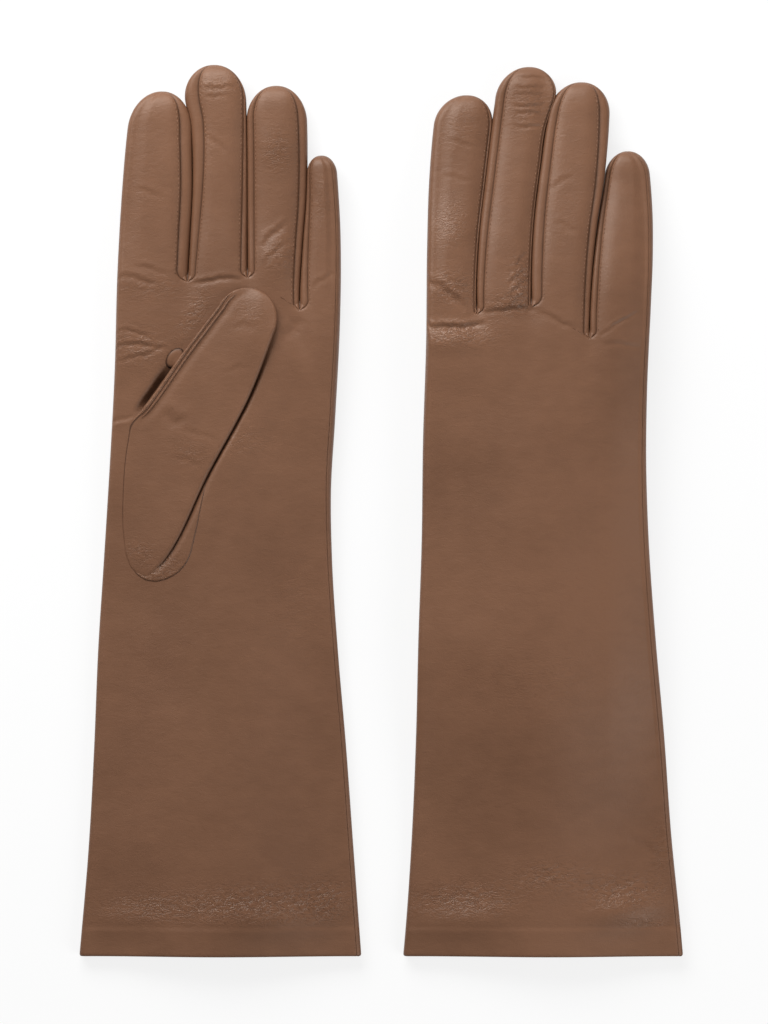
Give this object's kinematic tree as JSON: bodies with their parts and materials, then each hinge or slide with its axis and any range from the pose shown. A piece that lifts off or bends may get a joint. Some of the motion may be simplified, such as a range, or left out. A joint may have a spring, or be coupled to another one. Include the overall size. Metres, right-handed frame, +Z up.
{
  "type": "pair of leather gloves",
  "caption": "Pair of long forearm-length dress gloves in smooth brown leather, lying side by side with one palm up and one palm down; fingers and thumbs fold at their roots.",
  "frame": {"origin": "on the table, under the middle of the pair's box", "axes": "+X across the pair from the left-hand glove to the right-hand glove, +Y from the hems to the fingertips, +Z up"},
  "size_m": [0.2368, 0.3502, 0.0184],
  "materials": {
    "nappa": "smooth satin nappa",
    "fourchette_nappa": "smooth satin nappa, a little darker in the forks",
    "silk_lining": "fine knitted silk"
  },
  "bodies": {
    "left_hand": {"left_trank": "nappa", "left_quirk_index_middle": "fourchette_nappa", "left_quirk_middle_ring": "fourchette_nappa", "left_quirk_ring_little": "fourchette_nappa", "left_thumb_quirk": "fourchette_nappa", "left_hand_lining": "silk_lining"},
    "left_index_stall": {"left_index_finger": "nappa", "left_index_outer_fourchette": "fourchette_nappa", "left_index_lining": "silk_lining"},
    "left_middle_stall": {"left_middle_finger": "nappa", "left_middle_inner_fourchette": "fourchette_nappa", "left_middle_outer_fourchette": "fourchette_nappa", "left_middle_lining": "silk_lining"},
    "left_ring_stall": {"left_ring_finger": "nappa", "left_ring_inner_fourchette": "fourchette_nappa", "left_ring_outer_fourchette": "fourchette_nappa", "left_ring_lining": "silk_lining"},
    "left_little_stall": {"left_little_finger": "nappa", "left_little_inner_fourchette": "fourchette_nappa", "left_little_lining": "silk_lining"},
    "left_thumb_stall": {"left_thumb": "nappa", "left_thumb_lining": "silk_lining"},
    "right_hand": {"right_trank": "nappa", "right_quirk_index_middle": "fourchette_nappa", "right_quirk_middle_ring": "fourchette_nappa", "right_quirk_ring_little": "fourchette_nappa", "right_thumb_quirk": "fourchette_nappa", "right_hand_lining": "silk_lining"},
    "right_index_stall": {"right_index_finger": "nappa", "right_index_outer_fourchette": "fourchette_nappa", "right_index_lining": "silk_lining"},
    "right_middle_stall": {"right_middle_finger": "nappa", "right_middle_inner_fourchette": "fourchette_nappa", "right_middle_outer_fourchette": "fourchette_nappa", "right_middle_lining": "silk_lining"},
    "right_ring_stall": {"right_ring_finger": "nappa", "right_ring_inner_fourchette": "fourchette_nappa", "right_ring_outer_fourchette": "fourchette_nappa", "right_ring_lining": "silk_lining"},
    "right_little_stall": {"right_little_finger": "nappa", "right_little_inner_fourchette": "fourchette_nappa", "right_little_lining": "silk_lining"},
    "right_thumb_stall": {"right_thumb": "nappa", "right_thumb_lining": "silk_lining"}
  },
  "joints": [
    {"name": "left_index_fold", "type": "hinge", "parent": "left_hand", "child": "left_index_stall", "pos_m": [-0.09052, 0.098, 0.0104], "axis": [1, 0, 0], "range_deg": [0, 90]},
    {"name": "left_middle_fold", "type": "hinge", "parent": "left_hand", "child": "left_middle_stall", "pos_m": [-0.06475, 0.099, 0.0104], "axis": [1, 0, 0], "range_deg": [0, 90]},
    {"name": "left_ring_fold", "type": "hinge", "parent": "left_hand", "child": "left_ring_stall", "pos_m": [-0.0421, 0.099, 0.0104], "axis": [1, 0, 0], "range_deg": [0, 90]},
    {"name": "left_little_fold", "type": "hinge", "parent": "left_hand", "child": "left_little_stall", "pos_m": [-0.02388, 0.087, 0.0104], "axis": [1, 0, 0], "range_deg": [0, 90]},
    {"name": "left_thumb_swing", "type": "hinge", "parent": "left_hand", "child": "left_thumb_stall", "pos_m": [-0.0929, -0.013, 0.0104], "axis": [0, 0, 1], "range_deg": [0, 42]},
    {"name": "right_glove_aside", "type": "slide", "parent": "left_hand", "child": "right_hand", "axis": [1, 0, 0], "range_m": [0, 0.12]},
    {"name": "right_index_fold", "type": "hinge", "parent": "right_hand", "child": "right_index_stall", "pos_m": [0.02742, 0.098, 0.01848], "axis": [1, 0, 0], "range_deg": [0, 90]},
    {"name": "right_middle_fold", "type": "hinge", "parent": "right_hand", "child": "right_middle_stall", "pos_m": [0.04865, 0.099, 0.01842], "axis": [1, 0, 0], "range_deg": [0, 90]},
    {"name": "right_ring_fold", "type": "hinge", "parent": "right_hand", "child": "right_ring_stall", "pos_m": [0.0705, 0.099, 0.01842], "axis": [1, 0, 0], "range_deg": [0, 90]},
    {"name": "right_little_fold", "type": "hinge", "parent": "right_hand", "child": "right_little_stall", "pos_m": [0.09327, 0.087, 0.01826], "axis": [1, 0, 0], "range_deg": [0, 90]},
    {"name": "right_thumb_swing", "type": "hinge", "parent": "right_hand", "child": "right_thumb_stall", "pos_m": [0.03051, -0.013, 0], "axis": [0, 0, 1], "range_deg": [0, 42]}
  ]
}
